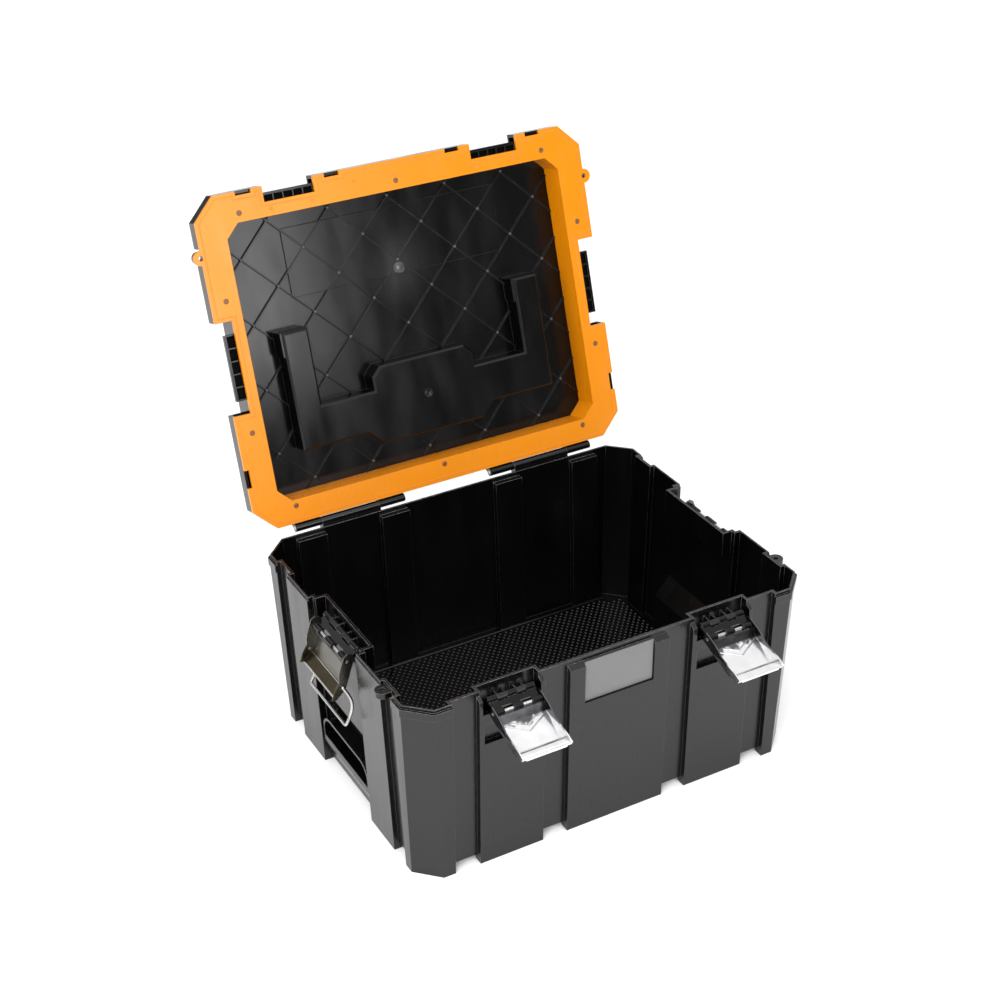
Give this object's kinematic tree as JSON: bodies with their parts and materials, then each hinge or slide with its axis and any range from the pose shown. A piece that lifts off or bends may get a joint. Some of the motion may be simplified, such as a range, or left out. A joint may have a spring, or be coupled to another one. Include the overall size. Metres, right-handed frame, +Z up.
{
  "type": "stackable toolbox",
  "caption": "Stackable plastic toolbox with a hinged lid, draw latches with wire bails, side hand-holds, padlock eyes and a folding carry handle.",
  "frame": {"origin": "middle of the underside of the tub's floor, the face that rests on the lid of the box below; the feet reach 8 mm lower", "axes": "+X to the right seen from the front, +Y to the hinged back, +Z up"},
  "size_m": [0.478, 0.5407, 0.5407],
  "materials": {
    "black_plastic": "satin moulded polypropylene",
    "orange_plastic": "satin moulded polypropylene",
    "latch_steel": "bright plated stamping",
    "pin_steel": "plated wire and pins",
    "label": "matt card"
  },
  "bodies": {
    "tub": {"tub": "black_plastic", "label_card": "label", "hinge_pin_left": "pin_steel", "hinge_pin_right": "pin_steel", "front_left_link_pin": "pin_steel", "front_right_link_pin": "pin_steel", "side_left_link_pin": "pin_steel", "side_right_link_pin": "pin_steel"},
    "lid": {"lid_shell": "black_plastic", "lid_frame": "orange_plastic", "handle_pins": "pin_steel"},
    "handle": {"carry_handle": "black_plastic"},
    "front_left_link": {"front_left_link": "black_plastic"},
    "front_left_lever": {"front_left_lever": "latch_steel", "front_left_lever_pin": "pin_steel"},
    "front_right_link": {"front_right_link": "black_plastic"},
    "front_right_lever": {"front_right_lever": "latch_steel", "front_right_lever_pin": "pin_steel"},
    "side_left_link": {"side_left_link": "black_plastic"},
    "side_left_lever": {"side_left_lever": "latch_steel", "side_left_lever_pin": "pin_steel"},
    "side_left_bail": {"side_left_bail": "pin_steel"},
    "side_right_link": {"side_right_link": "black_plastic"},
    "side_right_lever": {"side_right_lever": "latch_steel", "side_right_lever_pin": "pin_steel"},
    "side_right_bail": {"side_right_bail": "pin_steel"}
  },
  "joints": [
    {"name": "lid_hinge", "type": "hinge", "parent": "tub", "child": "lid", "pos_m": [0, 0.1775, 0.1975], "axis": [1, 0, 0], "range_deg": [0, 107]},
    {"name": "handle_hinge", "type": "hinge", "parent": "lid", "child": "handle", "pos_m": [0, 0.24895, 0.37068], "axis": [1, 0, 0], "range_deg": [0, 90]},
    {"name": "front_left_link_hinge", "type": "hinge", "parent": "tub", "child": "front_left_link", "pos_m": [-0.117, -0.168, 0.183], "axis": [-1, 0, 0], "range_deg": [0, 69]},
    {"name": "front_left_lever_hinge", "type": "hinge", "parent": "front_left_link", "child": "front_left_lever", "pos_m": [-0.117, -0.1817, 0.1769], "axis": [1, 0, 0], "range_deg": [0, 139]},
    {"name": "front_right_link_hinge", "type": "hinge", "parent": "tub", "child": "front_right_link", "pos_m": [0.117, -0.168, 0.183], "axis": [-1, 0, 0], "range_deg": [0, 69]},
    {"name": "front_right_lever_hinge", "type": "hinge", "parent": "front_right_link", "child": "front_right_lever", "pos_m": [0.117, -0.1817, 0.1769], "axis": [1, 0, 0], "range_deg": [0, 139]},
    {"name": "side_left_link_hinge", "type": "hinge", "parent": "tub", "child": "side_left_link", "pos_m": [-0.208, 0, 0.183], "axis": [0, 1, 0], "range_deg": [0, 60]},
    {"name": "side_left_lever_hinge", "type": "hinge", "parent": "side_left_link", "child": "side_left_lever", "pos_m": [-0.22072, 0, 0.17505], "axis": [0, 1, 0], "range_deg": [0, 100]},
    {"name": "side_left_bail_hinge", "type": "hinge", "parent": "side_left_lever", "child": "side_left_bail", "pos_m": [-0.22791, 0, 0.14865], "axis": [0, 1, 0], "range_deg": [0, 60]},
    {"name": "side_right_link_hinge", "type": "hinge", "parent": "tub", "child": "side_right_link", "pos_m": [0.208, 0, 0.183], "axis": [0, -1, 0], "range_deg": [0, 60]},
    {"name": "side_right_lever_hinge", "type": "hinge", "parent": "side_right_link", "child": "side_right_lever", "pos_m": [0.22072, 0, 0.17505], "axis": [0, -1, 0], "range_deg": [0, 100]},
    {"name": "side_right_bail_hinge", "type": "hinge", "parent": "side_right_lever", "child": "side_right_bail", "pos_m": [0.22791, 0, 0.14865], "axis": [0, -1, 0], "range_deg": [0, 60]}
  ],
  "couplings": [
    {"joint": "front_left_lever_hinge", "follows": "front_left_link_hinge", "ratio": 2.0145},
    {"joint": "front_right_lever_hinge", "follows": "front_right_link_hinge", "ratio": 2.0145}
  ]
}
